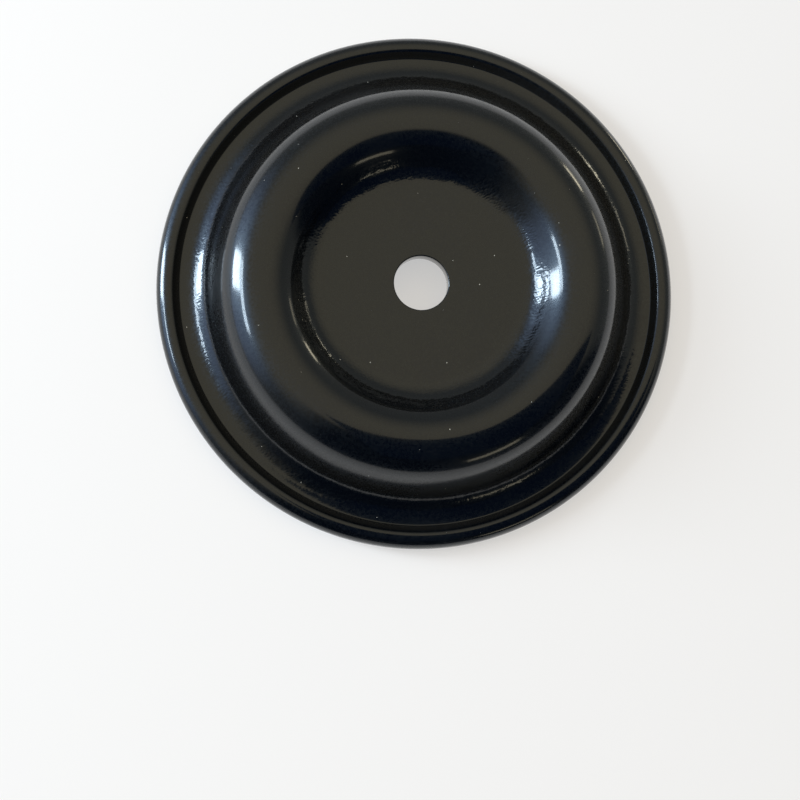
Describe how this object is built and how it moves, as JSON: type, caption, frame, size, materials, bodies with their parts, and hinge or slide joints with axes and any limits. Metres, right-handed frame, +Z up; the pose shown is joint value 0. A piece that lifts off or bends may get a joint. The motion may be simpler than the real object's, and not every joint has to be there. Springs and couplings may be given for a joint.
{
  "type": "pump diaphragm",
  "caption": "Round moulded rubber diaphragm for a pump: a flat centre plate with a bolt hole, a raised convolution that lets it flex, and a round rim bead that the housing clamps.",
  "frame": {"origin": "on the axis, in the plane that the lowest line of the rim bead rests on", "axes": "+Z up along the axis of symmetry, from the bead towards the crest of the convolution; X and Y are any two square radii"},
  "size_m": [0.165, 0.165, 0.0248],
  "materials": {
    "rubber": "gloss"
  },
  "bodies": {
    "root": {"diaphragm": "rubber"}
  },
  "joints": []
}
